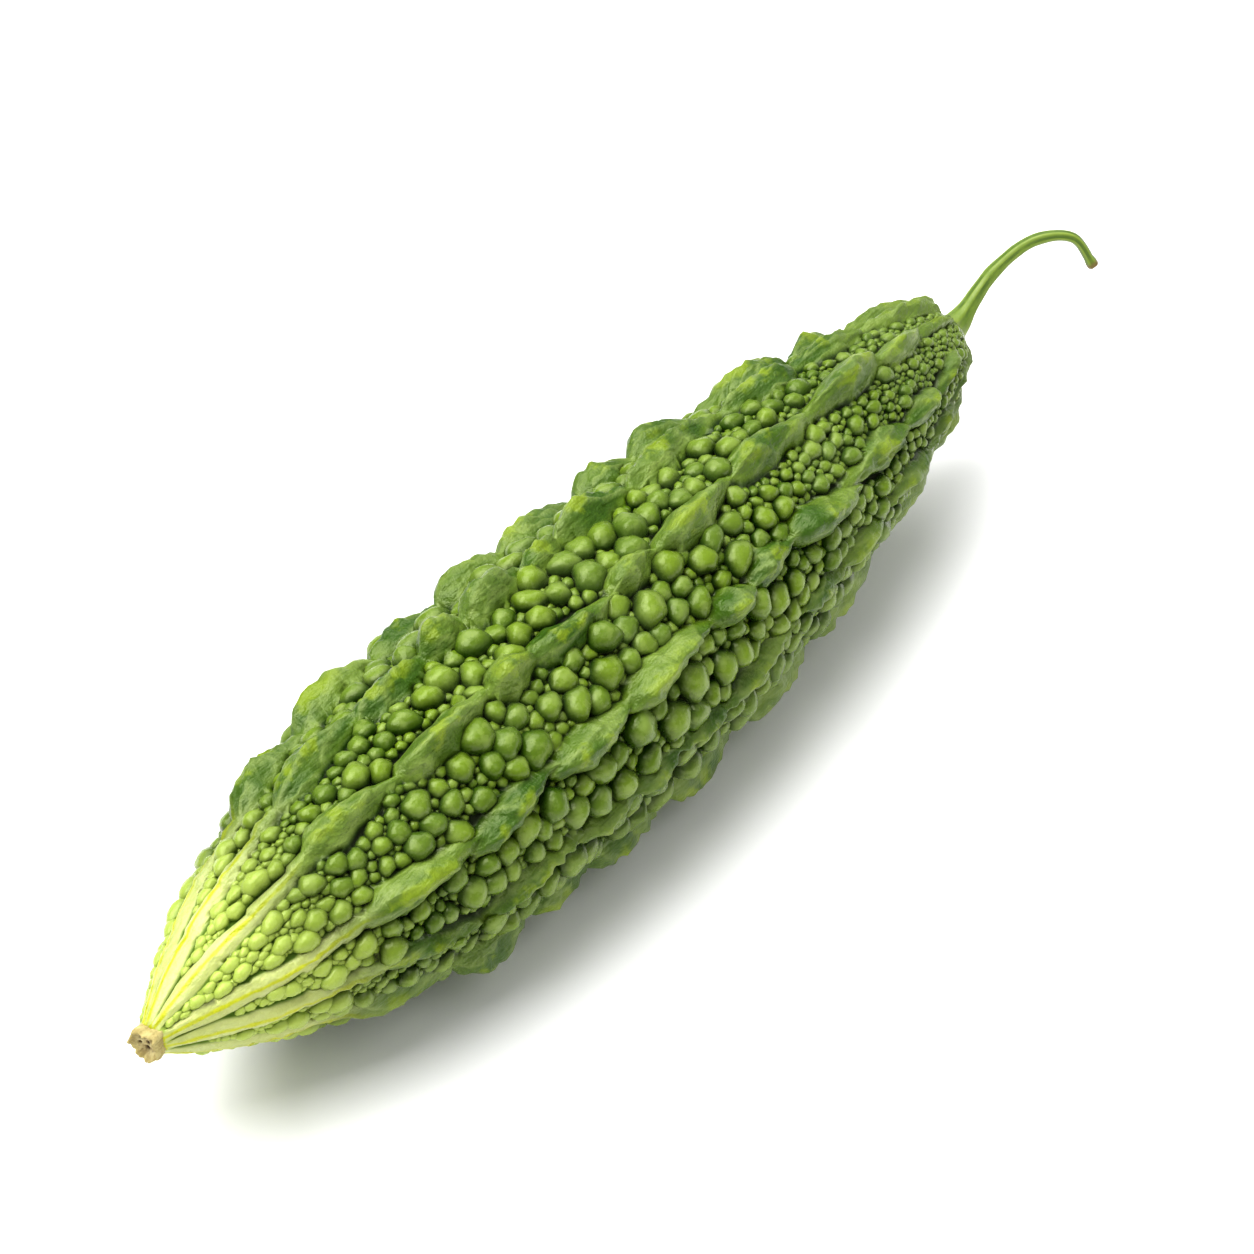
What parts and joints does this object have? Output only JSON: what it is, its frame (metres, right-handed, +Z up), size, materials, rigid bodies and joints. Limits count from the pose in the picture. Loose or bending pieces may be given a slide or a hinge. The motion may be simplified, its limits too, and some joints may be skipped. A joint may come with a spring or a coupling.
{
  "type": "bitter gourd",
  "caption": "Whole picked bitter gourd, a warty spindle with rows of blunt fins, a curled cut stem and a dried flower tip, lying on its side.",
  "frame": {"origin": "on the surface that the gourd lies on, under the middle of the whole gourd's box", "axes": "+X along the fruit towards its stem, +Y across it, away from the side that the stem turns to, +Z up from the surface"},
  "size_m": [0.2402, 0.0518, 0.0533],
  "materials": {
    "fruit_skin": "waxy semi-gloss green skin, darker in its creases and pale yellow-green at the blossom end",
    "stem_skin": "smooth yellow-green plant stem with faint lengthwise lines, brown at the cut",
    "dried_flower": "matt dry tan plant tissue with small pores"
  },
  "bodies": {
    "root": {"fruit": "fruit_skin", "stem": "stem_skin", "blossom_scar": "dried_flower"}
  },
  "joints": []
}
